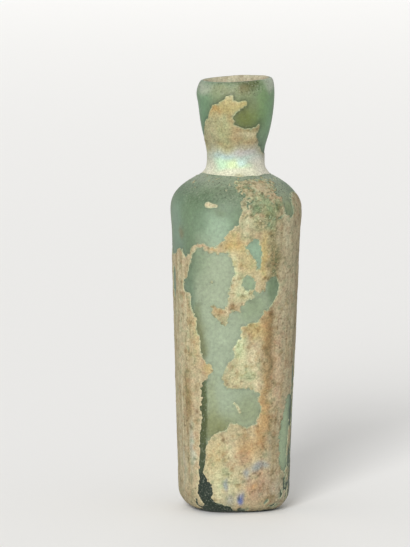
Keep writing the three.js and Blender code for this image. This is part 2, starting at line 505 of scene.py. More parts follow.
def neck_mask(turn, along):
    """How far inside the neck's crust a point lies.

    Its outline is frayed by fine noise and, round the sides and back, bent by a broad one. Below, it ends
    in the collar's crisp and slightly wavy edge.
    """
    point = skin_point(turn, along)
    across = across_of(turn, NECK_ROLL)
    height = height_at(along)
    crust = inside_outline(across, height, NECK_CRUST)
    fine = rough_noise(point, 0.55, seed=91, octaves=2) * 0.24
    crust = crust + fine + lattice_noise(point, 1.6, seed=95) * 0.16
    broad = rough_noise(point, 3.5, seed=99, octaves=2) * 1.3
    crust = crust + broad * smoothstep(np.abs(across), 9, 13)
    edge = height - COLLAR_HEIGHT + 0.16 * lattice_noise(point, 2, seed=97)
    return np.minimum(crust, edge)


def lip_mask(turn, along):
    """How far inside the lip's crust a point lies: noise plus an allowance, which rises over the middle of
    the lip and falls again down the inside of the mouth."""
    point = skin_point(turn, along)
    over = along - LIP_LENGTH
    crust = rough_noise(point, (2.6, 2.6, 3.2), seed=101, octaves=3) * 0.9
    crust += mix(-2.2, 1.1, smoothstep(over, -0.3, 0.5)) - mix(0, 2.0, smoothstep(over, 5, 9.5))
    return crust


# ---------------------------------------------------------------------------------------------
# Its colours
# ---------------------------------------------------------------------------------------------

FRONT_LIGHT = 1.35  # how much brighter than its own colour a front face comes out under the lights


def pigment(red, green, blue):
    """The colour that shows as this display colour on a face turned to the light."""
    return linear(red, green, blue) / FRONT_LIGHT


TAN = pigment(186, 173, 137)
NECK_TAN = pigment(172, 168, 127)
LIP_BEIGE = pigment(196, 188, 160)
GREY_TAN = pigment(168, 157, 128)
OLIVE_TAN = pigment(146, 137, 96)
CREAM = pigment(208, 198, 160)
GOLD = pigment(184, 163, 108)
ORANGE = pigment(182, 146, 94)
PEACH = pigment(200, 170, 136)
BROWN = pigment(140, 117, 78)
ROSE = pigment(176, 143, 112)
PALE_GREEN = pigment(200, 204, 160)
MOSS = pigment(134, 142, 106)
BLUE_GREY = pigment(144, 153, 152)
VIOLET_BLUE = pigment(108, 120, 168)
LEAF_WHITE = pigment(204, 238, 200)
LEMON_WHITE = pigment(226, 244, 186)
ICE_WHITE = pigment(206, 234, 224)
ICE_BLUE = pigment(172, 202, 206)
CYAN_GREY = pigment(180, 200, 188)
LILAC_GREY = pigment(188, 184, 178)
LILAC_WHITE = pigment(216, 214, 204)
COLLAR_WHITE = pigment(222, 222, 196)
DARK = pigment(92, 84, 56)
DARK_MOSS = pigment(86, 98, 66)
BARE_GREEN = pigment(126, 142, 106)
GLASS = linear(144, 169, 139)
PALE_GLASS = linear(198, 211, 180)
OLIVE_GLASS = linear(160, 166, 112)
DEEP_OLIVE = linear(92, 102, 52)
DEEP_GREEN = linear(36, 54, 40)
FROST = linear(196, 202, 178)
# Dark green of the glass's pits, and of the shadow painted on the glass beside the crust.
PIT_AND_SHADOW_GREEN = linear(48, 58, 40)

# Soft stains on the body's crust, laid one over another:
# (across, height, half width, half height, colour, strength).
BODY_STAINS = (
    (12.5, 32, 4.5, 40, GREY_TAN, 0.75),
    (-14, 36, 4.5, 18, CREAM, 0.4),
    (5.5, 63.5, 4.2, 5, MOSS, 0.45),
    (4, 63.6, 1.3, 0.9, BARE_GREEN, 0.8),
    (7.4, 63.8, 1.1, 0.9, BARE_GREEN, 0.8),
    (-4.8, 64, 1.8, 0.9, CREAM, 0.8),
    (0.7, 22.5, 1.4, 1.4, CREAM, 0.9),
    (4.6, 62.3, 0.9, 0.4, ROSE, 0.5),
    (8.8, 65.5, 1.9, 1.1, PEACH, 0.6),
    (7.3, 63.1, 2, 1.2, pigment(128, 136, 92), 0.8),
    (3.4, 67.4, 0.5, 0.4, DARK, 0.7),
    (5, 59, 3.2, 2.2, OLIVE_TAN, 0.2),
    (2.6, 60.4, 1.6, 1.5, PALE_GREEN, 0.5),
    (7.8, 30, 1.3, 14, BROWN, 0.75),
    (7.1, 24, 1.3, 6, ORANGE, 0.4),
    (7.8, 35, 0.4, 8, DARK, 0.5),
    (8.2, 52, 1.1, 4.4, DARK, 0.6),
    (8.2, 55, 1.4, 7, OLIVE_TAN, 0.75),
    (0, 56.3, 2.6, 1.9, GOLD, 0.95),
    (-1, 56.4, 0.9, 0.8, ORANGE, 0.4),
    (3, 52.5, 2.6, 3, pigment(188, 174, 124), 0.75),
    (5.9, 53.5, 0.9, 4.4, GOLD, 0.9),
    (4.2, 38.8, 2.4, 1.8, GOLD, 0.8),
    (6.8, 39.2, 1, 3.6, ORANGE, 0.6),
    (7.4, 38, 0.7, 5, BROWN, 0.8),
    (-3.6, 42.4, 1.3, 1.3, ORANGE, 0.45),
    (-0.5, 43.6, 0.6, 0.9, BROWN, 0.9),
    (-0.2, 51.4, 0.7, 1.9, PALE_GREEN, 0.85),
    (1.6, 46.6, 1.8, 2.3, PALE_GREEN, 0.8),
    (1.2, 34.3, 1.5, 2.8, PALE_GREEN, 0.9),
    (3.2, 29.8, 1.5, 2, PALE_GREEN, 0.7),
    (0, 28.5, 1.8, 1.8, PALE_GREEN, 0.45),
    (4.2, 33, 1.6, 3, CREAM, 0.5),
    (4.8, 27, 1.3, 1.4, CREAM, 0.6),
    (-0.8, 6.6, 2.6, 2.4, PALE_GREEN, 0.3),
    (-3.5, 9, 2, 5, PALE_GREEN, 0.5),
    (-4, 14, 2, 2, CREAM, 0.5),
    (3.4, 14, 2.2, 2.6, ORANGE, 0.7),
    (2.6, 12, 1.6, 1.2, ROSE, 0.6),
    (6.4, 18, 1.3, 5, ORANGE, 0.7),
    (6, 5.4, 3.1, 2.8, ROSE, 0.8),
    (5.2, 6.4, 1, 0.6, ORANGE, 0.6),
    (6, 9.8, 1.8, 0.9, BLUE_GREY, 0.85),
    (3, 8.6, 0.9, 1.1, BLUE_GREY, 0.75),
    (-1.9, 6.4, 0.5, 1.2, BLUE_GREY, 0.85),
    (1.7, 3.5, 0.75, 1.5, VIOLET_BLUE, 1),
    (-1.2, 3.4, 1.7, 1.6, pigment(164, 160, 130), 0.65),
    (-0.9, 3, 1, 1, BLUE_GREY, 0.5),
    (10.5, 4.6, 4, 2.6, pigment(172, 162, 138), 0.7),
    (9, 13.6, 1.6, 3.4, pigment(168, 160, 130), 0.6),
    (8.7, 23, 0.8, 2.6, CREAM, 0.35),
    (-5.7, 10, 1.2, 3.6, pigment(184, 172, 132), 0.6),
    (-10.3, 6.6, 1.6, 2.4, pigment(170, 155, 123), 0.6),
    (-15.5, 19, 1.7, 5, CREAM, 0.4),
    (8.6, 2.6, 2, 1, BROWN, 0.5),
    (-6.6, 31, 1.4, 2, ROSE, 0.5),
    (-5.6, 30.2, 1, 1.6, GOLD, 0.7),
    (-8.4, 37, 1.2, 5, GOLD, 0.45),
    (-11.3, 23.6, 1.5, 6, pigment(146, 124, 80), 0.9),
    (-8.7, 16, 1, 13, PEACH, 0.2),
    (-10, 14.4, 0.9, 4, CYAN_GREY, 0.4),
    (-4, 12.8, 2, 3.8, pigment(184, 169, 124), 0.75),
    (-11.5, 3, 4, 1.8, pigment(156, 145, 112), 0.6),
    (-13.5, 9, 0.7, 4, CYAN_GREY, 0.35),
    (9.8, 30, 1.2, 9, PEACH, 0.45),
    (-14, 11, 4, 9, GREY_TAN, 0.3),
    (-13, 53, 3, 1, ROSE, 0.3),
    (-13.4, 48, 3, 6, CREAM, 0.3),
    (-10.2, 50, 0.9, 2.6, BROWN, 0.4),
    (-7, 55.8, 1.6, 0.8, ROSE, 0.7),
    (-3.9, 54.9, 0.6, 0.5, ORANGE, 0.7),
    (2.2, 61.5, 0.8, 4, CREAM, 0.6),
    (6.5, 67.7, 3, 1, pigment(198, 184, 150), 0.75),
    (10.3, 60, 0.5, 0.5, DARK, 0.9),
    (9.5, 61, 1, 2, ROSE, 0.2),
    (10.8, 60, 2, 4.5, pigment(180, 172, 142), 0.6),
)

# The same on the neck's crust, with the shimmering band above the collar: a pale film whose shimmer of
# cyan, white and lilac is a painted sheen.
NECK_STAINS = (
    (0, 84.6, 3.2, 1.6, pigment(182, 168, 110), 0.85),
    (-1, 85.4, 1.2, 1, CREAM, 0.5),
    (-4, 83.1, 1.6, 0.9, pigment(188, 156, 98), 0.8),
    (-1.2, 81.2, 0.6, 1.6, ORANGE, 0.4),
    (-2.2, 76.2, 1.4, 0.6, pigment(158, 128, 84), 0.7),
    (-2.4, 78.4, 1.7, 2.8, pigment(158, 162, 118), 0.7),
    (-0.3, 78.4, 1.3, 1.6, pigment(172, 148, 108), 0.75),
    (3, 78.8, 2.8, 0.5, BROWN, 0.5),
    (3, 77, 2.6, 0.9, pigment(170, 146, 108), 0.6),
    (2.6, 78, 2.4, 0.25, CREAM, 0.6),
    (-6, 77, 2, 3, GREY_TAN, 0.3),
    (2.8, 75.4, 3.4, 1.1, pigment(178, 176, 156), 0.7),
    (0, 72.6, 22, 1.9, pigment(200, 197, 176), 0.85),
    # The shimmering band: its cyan, white and lilac spots are a painted sheen on the pale film.
    (-0.5, 73.4, 7, 1.3, CYAN_GREY, 0.8),
    (-0.6, 72.2, 6.2, 1.6, CYAN_GREY, 0.5),
    (2.2, 74.3, 2.8, 0.9, LILAC_GREY, 0.8),
    (6.4, 72, 3, 1.6, LILAC_WHITE, 0.6),
    (-2.8, 73.6, 2.1, 0.6, ICE_BLUE, 0.45),
    (-2.8, 71.8, 2.3, 1.2, LEAF_WHITE, 0.9),
    (-0.7, 71.7, 1.5, 1.2, LEMON_WHITE, 0.75),
    (1.2, 71.8, 0.9, 0.9, ICE_WHITE, 0.8),
    (2.1, 70.7, 1.7, 0.6, LEAF_WHITE, 0.7),
    (0, 69.8, 14, 0.9, COLLAR_WHITE, 0.95),
    # These two, brighter than the collar's white, are painted light where its sides turn from the light.
    (-9.5, 70.4, 3.4, 1.5, pigment(232, 231, 212), 0.7),
    (9.5, 70.6, 4, 2, pigment(238, 234, 216), 0.85),
)


def stained(colour, across, height, point, stains):
    """Lays soft oval stains over a colour, one after another.

    Each fades as exp(-0.7 d^3), where d is the oval distance from its middle: 1 at its half width and
    half height. Noise bends the ovals.
    """
    bend_across = across + 0.7 * lattice_noise(point, 1.8, seed=111)
    bend_height = height + 0.9 * lattice_noise(point, 2.2, seed=112)
    for middle, level, half_width, half_height, tone, strength in stains:
        square = ((bend_across - middle) / half_width) ** 2 + ((bend_height - level) / half_height) ** 2
        share = strength * np.exp(-0.7 * square**1.5)
        colour = blended(colour, tone, share)
    return colour


def tinted(colour, tone, share):
    """Shifts a colour part of the way that the plain tan would have to go to become the tone."""
    return colour * (tone / TAN) ** share[:, None]


def mottled(colour, point, strength):
    """Breaks a crust's colour up.

    It is tinted towards cream and brown at the two ends of one noise, rose and moss at the ends of a
    second, and dark at the peaks of a third, each by an S-curve of the noise. Streaks down the crust and
    a fine grain then brighten and darken it.
    """
    blotch = rough_noise(point, 1.3, seed=121, octaves=3)
    tinge = rough_noise(point, 0.9, seed=133, octaves=2)
    streak = rough_noise(point, (0.9, 0.9, 14), seed=125, octaves=2)
    grain = rough_noise(point, 0.6, seed=129, octaves=2)
    speck = lattice_noise(point, 0.55, seed=137)
    for tone, share in (
        (CREAM, 0.5 * smoothstep(blotch, 0.1, 0.9)),
        (BROWN, 0.45 * smoothstep(-blotch, 0.2, 1)),
        (ROSE, 0.35 * smoothstep(tinge, 0.2, 0.9)),
        (MOSS, 0.4 * smoothstep(-tinge, 0.2, 0.9)),
        (DARK, 0.4 * smoothstep(speck, 0.5, 0.8)),
    ):
        colour = tinted(colour, tone, strength * share)
    return colour * (1 + strength * (0.1 * streak + 0.14 * grain))[:, None]


def with_specks(colour, specks):
    """Adds a fourth value to each point's colour: how thickly the fine specks lie there, 0 to 1."""
    return np.column_stack([colour, np.broadcast_to(specks, len(colour))])


def tan_ground(point, across):
    """The body's tan, drifting to grey tan round the back and to olive tan in places, each by an S-curve of
    one slow noise."""
    behind = smoothstep(np.abs(across), 17, 24)
    colour = np.tile(TAN, (len(point), 1))
    drift = rough_noise(point, (5, 5, 16), seed=131, octaves=2)
    colour = blended(colour, GREY_TAN, behind * smoothstep(drift, -0.3, 0.6))
    return blended(colour, OLIVE_TAN, 0.35 * smoothstep(-drift, 0.2, 0.9))


def with_runs(colour, point, across):
    """Brown and cream runs down the sides, at the two ends of a noise drawn out along the height."""
    run = rough_noise(point, (0.8, 0.8, 9), seed=133, octaves=2) * smoothstep(np.abs(across), 7, 9)
    colour = tinted(colour, BROWN, 0.3 * smoothstep(run, 0.1, 0.9))
    return tinted(colour, CREAM, 0.3 * smoothstep(-run, 0.15, 0.9))


def with_thin_spots(colour, point, thin, band):
    """Glass showing through where the crust is thin, pale clumps on it, and dark veins there and down the
    band: the veins are the lines where a noise passes zero."""
    veins = 1 - np.abs(rough_noise(point, 0.8, seed=145, octaves=2))
    clumps = rough_noise(point, 0.75, seed=147, octaves=2)
    bare = rough_noise(point, 1.1, seed=151, octaves=2)
    colour = blended(colour, BARE_GREEN, thin * 0.65 * smoothstep(bare, 0.1, 0.5))
    colour = blended(colour, PALE_GREEN, thin * 0.6 * smoothstep(clumps, 0.25, 0.8))
    return blended(colour, DARK_MOSS, np.maximum(0.6 * thin, band) * smoothstep(veins, 0.75, 0.97))


def filmy(depth):
    """How thin a film the crust is: 1 at its broken edge, less with depth as exp(-(depth / 0.2 mm)^2)."""
    return np.exp(-(depth / 0.2) ** 2)


def with_film(colour, across, height, depth):
    """Pales the crust's broken edges: to cream along the left gap and the shoulder's edge, and to the
    glass's green elsewhere."""
    left_gap = smoothstep(-across, 3, 5) * (1 - smoothstep(height, 28, 33))
    pale = np.maximum(left_gap, soft_oval(across, height, PALE_EDGE))
    colour = blended(colour, CREAM, filmy(depth) * 0.6 * pale)
    return blended(colour, GLASS, filmy(depth) * 0.45 * (1 - pale))


def body_tone(turn, along, depth):
    """Colour of the body's crust: stained tan with runs, thin and veined in places, mottled, filmy at its
    broken edges, and darker towards the foot."""
    point = skin_point(turn, along)
    across, height = across_of(turn, BODY_ROLL), point[:, 2]
    colour = stained(tan_ground(point, across), across, height, point, BODY_STAINS)
    colour = with_runs(colour, point, across)
    thin = smoothstep(inside_outline(across, height, MOTTLED_SHOULDER), -0.8, 0.6)
    thin *= 1 - smoothstep(inside_oval(across, height, SHOULDER_PATCH), -0.3, 0.3)
    band = soft_oval(across, height, VEINED_BAND)
    colour = with_thin_spots(colour, point, thin, band)
    colour = with_film(mottled(colour, point, 0.85), across, height, depth)
    # Darker towards the foot, over its lowest 1.8 mm.
    foot_darkening = 0.45 * smoothstep(1.8 - height, 0, 1.5)
    specks = mix(0.3, 0.8, np.maximum(thin, np.maximum(band, smoothstep(5 - height, 0, 4))))
    return with_specks(blended(colour, DARK, foot_darkening), specks)


def neck_tone(turn, along, depth):
    """Colour of the neck's crust: brushed olive tan with its stains, mottled above and nearly clear towards
    the collar, with a film of the glass's green at its broken edges."""
    point = skin_point(turn, along)
    across = across_of(turn, NECK_ROLL)
    height = height_at(along)
    brushed = rough_noise(point, (2.4, 2.4, 0.5), seed=149, octaves=2)
    colour = NECK_TAN * (1 + 0.14 * brushed)[:, None]
    colour = stained(colour, across, height, point, NECK_STAINS)
    clear = np.exp(-((np.maximum(height - 71.2, 0) / 2.8) ** 2))
    colour = blended(mottled(colour, point, 0.5), colour, 0.8 * clear)
    film = 0.4 * filmy(depth) * smoothstep(height, 73, 76)
    return with_specks(blended(colour, GLASS, film), 0.14)


def lip_tone(turn, along, depth):
    """Colour of the lip's crust: beige, mottled, and the same at any depth."""
    point = skin_point(turn, along)
    colour = np.tile(LIP_BEIGE, (len(point), 1))
    return with_specks(mottled(colour, point, 0.55), 0.2)


# ---------------------------------------------------------------------------------------------
# Making the crust
# ---------------------------------------------------------------------------------------------


def cut_grid(mask, closed):
    """Cuts a grid of cells along the line where its mask is zero and keeps the positive side.

    Each cell is two triangles. A cut edge gets one new point, where the mask, taken as straight along
    the edge, is zero. A closed grid joins its last column to its first. Returns the points as
    (column, row) and the triangles.
    """
    rows, columns = mask.shape
    index = np.arange(rows * columns).reshape(rows, columns)
    if closed:
        index = np.concatenate([index, index[:, :1]], axis=1)
    a, b, c, d = (part.ravel() for part in (index[:-1, :-1], index[:-1, 1:], index[1:, 1:], index[1:, :-1]))
    triangles = np.concatenate([np.stack([a, b, c], 1), np.stack([a, c, d], 1)])
    value = mask.ravel()
    kept = value > 0
    count = kept[triangles].sum(axis=1)

    def turned(group, odd):
        """Triangles with their odd corner first."""
        first = odd[group].argmax(axis=1)[:, None]
        return np.take_along_axis(group, (first + np.arange(3)) % 3, axis=1)

    one = turned(triangles[count == 1], kept)
    two = turned(triangles[count == 2], ~kept)
    edges = np.sort(np.concatenate([one[:, :2], one[:, ::2], two[:, :2], two[:, ::2]]), axis=1)
    pairs, which = np.unique(edges, axis=0, return_inverse=True)
    start, end = pairs.T
    corner = np.stack([np.tile(np.arange(columns), rows), np.repeat(np.arange(rows), columns)], 1)
    corner = corner.astype(float)
    step = corner[end] - corner[start]
    if closed:
        step[:, 0] = (step[:, 0] + columns / 2) % columns - columns / 2
    share = value[start] / (value[start] - value[end])
    points = np.concatenate([corner, corner[start] + share[:, None] * step])
    fresh = np.split(len(corner) + which.ravel(), np.cumsum([len(one), len(one), len(two)]))
    faces = np.concatenate([
        triangles[count == 3],
        np.stack([one[:, 0], fresh[0], fresh[1]], 1),
        np.stack([fresh[2], two[:, 1], two[:, 2]], 1),
        np.stack([fresh[2], two[:, 2], fresh[3]], 1),
    ])
    used, faces = np.unique(faces, return_inverse=True)
    return points[used], faces.reshape(-1, 3)


def without_flecks(points, faces, least=7):
    """Drops the separate bits of a surface that have fewer points than this.

    Each point takes the lowest number among its neighbours, again and again, until a bit has one number.
    """
    label = np.arange(len(points))
    edges = np.concatenate([faces[:, [0, 1]], faces[:, [1, 2]], faces[:, [2, 0]]])
    while True:
        lowest = label.copy()
        np.minimum.at(lowest, edges[:, 0], label[edges[:, 1]])
        np.minimum.at(lowest, edges[:, 1], label[edges[:, 0]])
        lowest = lowest[lowest]
        if (lowest == label).all():
            break
        label = lowest
    kept = (np.bincount(label, minlength=len(label))[label] >= least)[faces[:, 0]]
    used, faces = np.unique(faces[kept], return_inverse=True)
    return points[used], faces.reshape(-1, 3)


def rim_edges(faces):
    """Edges that only one triangle has, in that triangle's direction."""
    edges = np.concatenate([faces[:, [0, 1]], faces[:, [1, 2]], faces[:, [2, 0]]])
    _, which, count = np.unique(np.sort(edges, axis=1), axis=0, return_inverse=True, return_counts=True)
    return edges[count[which.ravel()] == 1]


def crust_piece(name, material, turns, lengths, mask, tone, thickness, closed=False):
    """A thin closed shell on the skin, wherever the mask is positive.

    Its top stands off the glass by the thickness, which grows from its broken edge as 0.2 + 0.8 (1 -
    exp(-depth / 0.25 mm)) and is roughened by noise. Its underside lies just under the glass. No cut
    falls right on a point of the grid, so that no triangle is a sliver. Where one arc of crust meets the
    next, its end wall has points of its own, so that no seam is seen.
    """
    grid = np.meshgrid(turns, lengths)
    values = mask(grid[0].ravel(), grid[1].ravel()).reshape(grid[0].shape)
    least = 0.02
    values = np.where(np.abs(values) < least, np.where(values > 0, least, -least), values)
    places, faces = without_flecks(*cut_grid(values, closed))
    turn = turns[0] + places[:, 0] * (turns[1] - turns[0])
    along = lengths[0] + places[:, 1] * (lengths[1] - lengths[0])
    base, normal = skin_point(turn, along), skin_normal(turn, along)
    depth = np.maximum(mask(turn, along), 0)
    swell = 0.2 + 0.8 * (1 - np.exp(-depth / 0.25))
    relief = rough_noise(base, 1.3, seed=141, octaves=3)
    height = thickness * swell * (1 + 0.42 * relief)
    points = np.concatenate([base + normal * height[:, None], base - normal * UNDERSIDE])
    colours = np.tile(np.clip(tone(turn, along, depth), 0.01, 0.95), (2, 1))
    over = rim_edges(faces)
    under = over + len(base)
    if not closed:
        end = np.isin(places[over, 0], (0, len(turns) - 1)).all(axis=1)
        own = np.unique(over[end])
        fresh = np.concatenate([own, own + len(base)])
        over[end] = len(points) + np.searchsorted(own, over[end])
        under[end] = over[end] + len(own)
        points = np.concatenate([points, points[fresh]])
        colours = np.concatenate([colours, colours[fresh]])
    walls = np.concatenate([
        np.stack([over[:, 1], over[:, 0], under[:, 0]], 1),
        np.stack([over[:, 1], under[:, 0], under[:, 1]], 1),
    ])
    first_wall = 2 * len(faces)
    faces = np.concatenate([faces, (faces + len(base))[:, ::-1], walls])
    mesh_object(name, points, faces, material, colours, flat_from=first_wall)


# ---------------------------------------------------------------------------------------------
# Materials
# ---------------------------------------------------------------------------------------------


# Noise scales, in cells to a metre: pits and grains of a third of a millimetre, and clots twice as big.
GRAIN, PITS, CLOTS = 2900, 2600, 1500


def new_material(name):
    """A material of its own, its nodes, its links and its shader."""
    material = bpy.data.materials.new(name)
    material.use_nodes = True
    nodes = material.node_tree.nodes
    return material, nodes, material.node_tree.links, nodes["Principled BSDF"]


def noise_node(nodes, links, place, scale, detail):
    """Noise from 0 to 1, of so many cells to a metre."""
    node = nodes.new("ShaderNodeTexNoise")
    node.inputs["Scale"].default_value = scale
    node.inputs["Detail"].default_value = detail
    node.inputs["Roughness"].default_value = 0.6
    links.new(place, node.inputs["Vector"])
    return node.outputs["Fac"]


def range_node(nodes, links, value, low, high, to_low, to_high):
    """Carries a value from one range straight to another, and holds it at the ends."""
    node = nodes.new("ShaderNodeMapRange")
    for key, number in zip(("From Min", "From Max", "To Min", "To Max"), (low, high, to_low, to_high)):
        node.inputs[key].default_value = number
    links.new(value, node.inputs["Value"])
    return node.outputs["Result"]


def scaled_tone(nodes, links, factor):
    """The piece's own tone, brightened or darkened by a factor, and how thickly its specks lie."""
    tone = nodes.new("ShaderNodeAttribute")
    tone.attribute_name = "tone"
    scale = nodes.new("ShaderNodeVectorMath")
    scale.operation = "SCALE"
    links.new(tone.outputs["Color"], scale.inputs[0])
    links.new(factor, scale.inputs["Scale"])
    return scale.outputs["Vector"], tone.outputs["Alpha"]


def specked(nodes, links, colour, thickness, noise, low, high, speck):
    """Lays specks of one colour where a noise passes from low to high, as thickly as asked."""
    share = range_node(nodes, links, noise, low, high, 0, 1)
    amount = nodes.new("ShaderNodeMath")
    amount.operation = "MULTIPLY"
    links.new(share, amount.inputs[0])
    links.new(thickness, amount.inputs[1])
    blend = nodes.new("ShaderNodeMix")
    blend.data_type = "RGBA"
    blend.inputs["B"].default_value = (*speck, 1)
    links.new(amount.outputs["Value"], blend.inputs["Factor"])
    links.new(colour, blend.inputs["A"])
    return blend.outputs["Result"]


def bump_node(nodes, links, height, distance, strength):
    """Relief of that many metres from a height of 0 to 1."""
    bump = nodes.new("ShaderNodeBump")
    bump.inputs["Distance"].default_value = distance
    bump.inputs["Strength"].default_value = strength
    links.new(height, bump.inputs["Height"])
    return bump.outputs["Normal"]


def crust_material():
    """Dry mineral crust, nearly matt: the piece's tone with a fine grain, and specks on its clots."""
    material, nodes, links, shader = new_material("weathering_crust")
    place = nodes.new("ShaderNodeTexCoord").outputs["Object"]
    grain = noise_node(nodes, links, place, GRAIN, detail=2)
    clots = noise_node(nodes, links, place, CLOTS, detail=3)
    factor = range_node(nodes, links, grain, 0.25, 0.75, 0.68, 1.32)
    tone, specks = scaled_tone(nodes, links, factor)
    tone = specked(nodes, links, tone, specks, clots, 0.62, 0.72, CREAM)
    tone = specked(nodes, links, tone, specks, clots, 0.36, 0.28, DARK)
    links.new(tone, shader.inputs["Base Color"])
    links.new(range_node(nodes, links, clots, 0.3, 0.7, 0.85, 0.6), shader.inputs["Roughness"])
    links.new(bump_node(nodes, links, clots, 0.15 * MM, 0.7), shader.inputs["Normal"])
    shader.inputs["Specular IOR Level"].default_value = 0.3
    return material


def glass_material():
    """Etched green glass: see-through but clouded, its surface finely pitted and frosted in places."""
    material, nodes, links, shader = new_material("weathered_glass")
    place = nodes.new("ShaderNodeTexCoord").outputs["Object"]
    film = noise_node(nodes, links, place, CLOTS, detail=3)
    pits = noise_node(nodes, links, place, PITS, detail=2)
    factor = range_node(nodes, links, film, 0.25, 0.75, 0.78, 1.22)
    tone, specks = scaled_tone(nodes, links, factor)
    tone = specked(nodes, links, tone, specks, pits, 0.56, 0.68, FROST)
    tone = specked(nodes, links, tone, specks, pits, 0.42, 0.32, PIT_AND_SHADOW_GREEN)
    links.new(tone, shader.inputs["Base Color"])
    links.new(range_node(nodes, links, film, 0.3, 0.7, 0.45, 0.65), shader.inputs["Roughness"])
    links.new(bump_node(nodes, links, pits, 0.06 * MM, 0.5), shader.inputs["Normal"])
    shader.inputs["Transmission Weight"].default_value = 0.55
    shader.inputs["IOR"].default_value = 1.5
    shader.inputs["Specular IOR Level"].default_value = 0.2
    return material


# ---------------------------------------------------------------------------------------------
# The glass
# ---------------------------------------------------------------------------------------------

# Soft stains on the body's glass, laid as the crust's are. Some of them are painted shade, as marked.
GLASS_STAINS = (
    (-15.5, 59, 4, 7, linear(150, 180, 156), 0.75),
    (-10, 60, 2, 12, linear(130, 155, 120), 0.7),
    (-5, 66.5, 14, 3, linear(112, 138, 102), 0.7),
    (-3, 58.4, 2.6, 3.4, linear(194, 220, 190), 0.75),
    (-7.8, 52.4, 2.4, 3.6, linear(146, 168, 134), 0.8),
    (-4, 48, 3.4, 7, linear(196, 208, 174), 0.5),
    (4, 43, 3, 2.5, linear(166, 184, 144), 0.7),
    (4.2, 54.5, 2.6, 4.4, linear(178, 210, 178), 0.95),
    (2.9, 48.1, 1.6, 2, linear(172, 196, 156), 0.8),
    (8, 47, 1.2, 2.5, linear(126, 150, 112), 0.85),
    (-3.8, 18.6, 3.6, 2.6, linear(150, 154, 98), 0.95),
    (-4.8, 23, 1.4, 5, linear(170, 178, 130), 0.6),
    (3.5, 21.4, 3.4, 3.6, linear(172, 182, 140), 0.75),
    (12.2, 15, 1.5, 14, linear(204, 224, 182), 0.85),
    (-8.1, 40.8, 1.1, 2.4, linear(140, 150, 104), 0.7),
    (-7.1, 37.2, 1.1, 2.6, linear(140, 142, 90), 0.8),
    (-6.5, 33.8, 0.7, 2.2, linear(138, 142, 92), 0.8),
    # Painted shade: the near black of the thick glass by the foot, in these two.
    (-10.8, 2, 3.2, 2.4, DEEP_GREEN, 0.9),
    (12.4, 4.6, 5, 4, DEEP_GREEN, 0.75),
    # Painted shade down the thick right front corner and the side beyond it, in these two.
    (15.1, 17, 0.7, 14, linear(60, 76, 54), 0.85),
    (17.5, 16, 2.2, 16, linear(78, 98, 72), 0.6),
    (11.5, 63.8, 1.6, 2.6, linear(166, 172, 126), 0.7),
    (-12.8, 58, 1.3, 0.9, linear(150, 138, 96), 0.7),
    (-3, 62.5, 1.1, 1.1, linear(118, 134, 96), 0.7),
    (-0.8, 63.8, 2.3, 2.6, linear(152, 172, 142), 0.5),
    (-2.6, 66, 3, 1.6, linear(152, 166, 140), 0.5),
    (5.6, 63, 4, 4.5, linear(132, 150, 112), 0.8),
    (11.5, 67, 4, 2.4, linear(184, 196, 168), 0.8),
    (-8, 68, 4, 1.6, linear(170, 186, 156), 0.6),
    (4, 67, 8, 1.5, linear(158, 172, 144), 0.5),
    (-11.5, 67.2, 2.6, 1.8, linear(158, 176, 150), 0.6),
    (0, 68.9, 60, 1.1, linear(190, 202, 176), 0.75),
)

# The same on the mouth's glass.
MOUTH_STAINS = (
    (0, 83, 4.5, 6, linear(160, 172, 120), 0.8),
    (2.2, 81.2, 2.9, 2.8, linear(130, 140, 74), 0.95),
    (-2.5, 87.2, 4.5, 1.1, linear(174, 180, 136), 0.65),
    (3.6, 88.4, 2.8, 1.1, linear(108, 112, 60), 0.75),
    (1.5, 87.5, 0.8, 0.9, linear(140, 116, 62), 0.5),
    (6, 84, 2, 5, linear(138, 176, 116), 0.75),
    (-7.6, 82, 2.4, 6, linear(126, 172, 130), 0.7),
    (8.8, 82, 2, 7, linear(142, 188, 140), 0.7),
    (-7.8, 87.4, 2.2, 1.3, linear(216, 222, 204), 0.7),
    (8.8, 87.8, 2.4, 1.2, linear(236, 240, 224), 0.75),
)


def front_face(across, height, ragged):
    """How far a point lies on the pale front face, 0 to 1: a product of S-curves at its edges.

    Its left edge stands further left higher up, and it ends at the right corner and at the shoulder.
    """
    upper = smoothstep(height, 27, 42)
    face = smoothstep(ragged, mix(-6.1, -9.6, upper), mix(-5.7, -7.6, upper))
    return face * (1 - smoothstep(across, 7, 10)) * (1 - smoothstep(height, 54, 60))


def corner_shade(height, ragged):
    """How far a point lies in the painted shade down the thick front corner, 0 to 1."""
    corner = smoothstep(ragged, -8.8, -7.6) * (1 - smoothstep(ragged, -6.2, -5.8))
    return corner * (1 - smoothstep(height, 26, 31))


def foot_shade(across, height, ragged):
    """How far a point lies in the painted shade of the foot, where its thick glass looks nearly black, 0 to
    1.

    It is the greatest of a blob at the corner's foot, a band along the front and the rim of the foot.
    """
    blob = 1 - smoothstep(height, 7.4, 9.4)
    blob = blob * smoothstep(ragged, -9.4, -8.6) * (1 - smoothstep(ragged, -4.4, -3.2))
    band = (1 - smoothstep(height, 2, 2.6)) * (1 - smoothstep(np.abs(across + 3), 4, 6))
    rim = 1 - smoothstep(height, 0.5, 1.2)
    return np.maximum(np.maximum(blob, band), rim)


def clouded_green(point, across):
    """The glass's green, drifting to pale and to olive round the sides and back, by one slow noise."""
    drift = rough_noise(point, (5, 5, 9), seed=157, octaves=3) * smoothstep(np.abs(across), 16, 21)
    colour = blended(np.tile(GLASS, (len(point), 1)), PALE_GLASS, 0.6 * smoothstep(drift, 0.05, 0.8))
    return blended(colour, OLIVE_GLASS, 0.5 * smoothstep(-drift, 0.2, 0.9))


